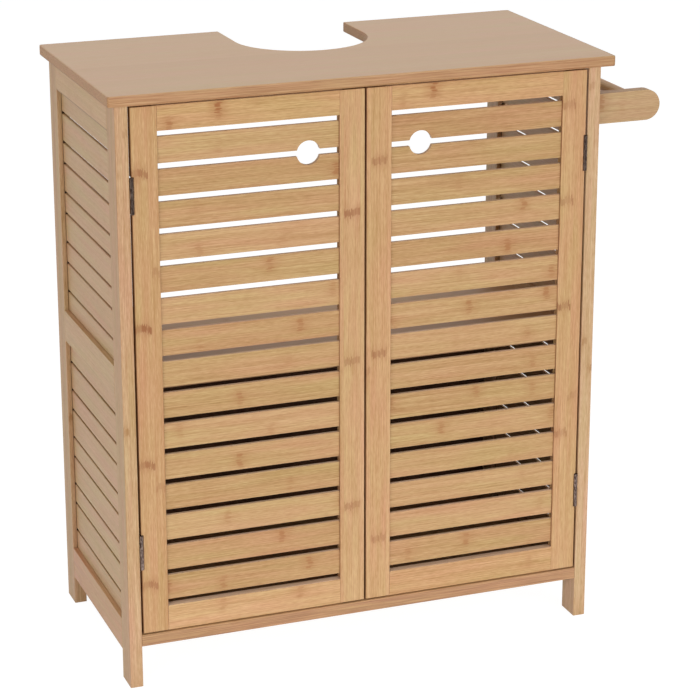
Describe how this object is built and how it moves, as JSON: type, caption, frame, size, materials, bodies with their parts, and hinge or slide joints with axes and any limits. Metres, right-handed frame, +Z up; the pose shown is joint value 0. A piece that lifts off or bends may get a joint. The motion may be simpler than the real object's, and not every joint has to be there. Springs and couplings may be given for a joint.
{
  "type": "under-sink cabinet",
  "caption": "Free-standing slatted bamboo cabinet for under a basin: hinged slatted doors, inner shelf, top board with a rounded pipe cut-out at the back, towel bar on one side.",
  "frame": {"origin": "on the floor, under the middle of the whole object with its towel rail; the middle of the cabinet itself is 35.5 mm to the left of it", "axes": "+Z up, +X to the right and +Y to the back for someone facing the doors"},
  "size_m": [0.671, 0.3, 0.7],
  "materials": {
    "bamboo": "satin lacquer",
    "hardboard": "smooth face",
    "steel": "dull nickel",
    "catch_plastic": "matte",
    "magnet": "matte"
  },
  "bodies": {
    "carcass": {"top_board": "bamboo", "bottom_board": "bamboo", "shelf": "bamboo", "lower_back_panel": "hardboard", "front_left_post": "bamboo", "rear_left_post": "bamboo", "left_top_rail": "bamboo", "left_middle_rail": "bamboo", "left_bottom_rail": "bamboo", "left_lower_narrow_slats": "bamboo", "left_lower_wide_slats": "bamboo", "left_upper_narrow_slats": "bamboo", "left_upper_wide_slats": "bamboo", "left_lower_hinge_post_leaf": "steel", "left_upper_hinge_post_leaf": "steel", "left_post_hinge_screws": "steel", "front_right_post": "bamboo", "rear_right_post": "bamboo", "right_top_rail": "bamboo", "right_middle_rail": "bamboo", "right_bottom_rail": "bamboo", "right_lower_narrow_slats": "bamboo", "right_lower_wide_slats": "bamboo", "right_upper_narrow_slats": "bamboo", "right_upper_wide_slats": "bamboo", "right_lower_hinge_post_leaf": "steel", "right_upper_hinge_post_leaf": "steel", "right_post_hinge_screws": "steel", "hinge_pins": "steel", "front_towel_arm": "bamboo", "rear_towel_arm": "bamboo", "towel_bar": "bamboo", "towel_arm_screws": "steel", "top_dowels": "bamboo", "bottom_board_dowels": "bamboo", "shelf_dowels": "bamboo", "catch_housing": "catch_plastic", "catch_magnets": "magnet"},
    "left_door": {"left_door_hinge_stile": "bamboo", "left_door_latch_stile": "bamboo", "left_door_bottom_rail": "bamboo", "left_door_top_rail": "bamboo", "left_door_plain_slats": "bamboo", "left_door_pull_slats": "bamboo", "left_door_strike_plate": "steel", "left_door_hinge_screws": "steel", "left_lower_hinge_door_leaf": "steel", "left_upper_hinge_door_leaf": "steel"},
    "right_door": {"right_door_hinge_stile": "bamboo", "right_door_latch_stile": "bamboo", "right_door_bottom_rail": "bamboo", "right_door_top_rail": "bamboo", "right_door_plain_slats": "bamboo", "right_door_pull_slats": "bamboo", "right_door_strike_plate": "steel", "right_door_hinge_screws": "steel", "right_lower_hinge_door_leaf": "steel", "right_upper_hinge_door_leaf": "steel"}
  },
  "joints": [
    {"name": "left_door_swing", "type": "hinge", "parent": "carcass", "child": "left_door", "pos_m": [-0.30725, -0.135, 0.37575], "axis": [0, 0, -1], "range_deg": [0, 170]},
    {"name": "right_door_swing", "type": "hinge", "parent": "carcass", "child": "right_door", "pos_m": [0.23625, -0.135, 0.37575], "axis": [0, 0, 1], "range_deg": [0, 170]}
  ]
}
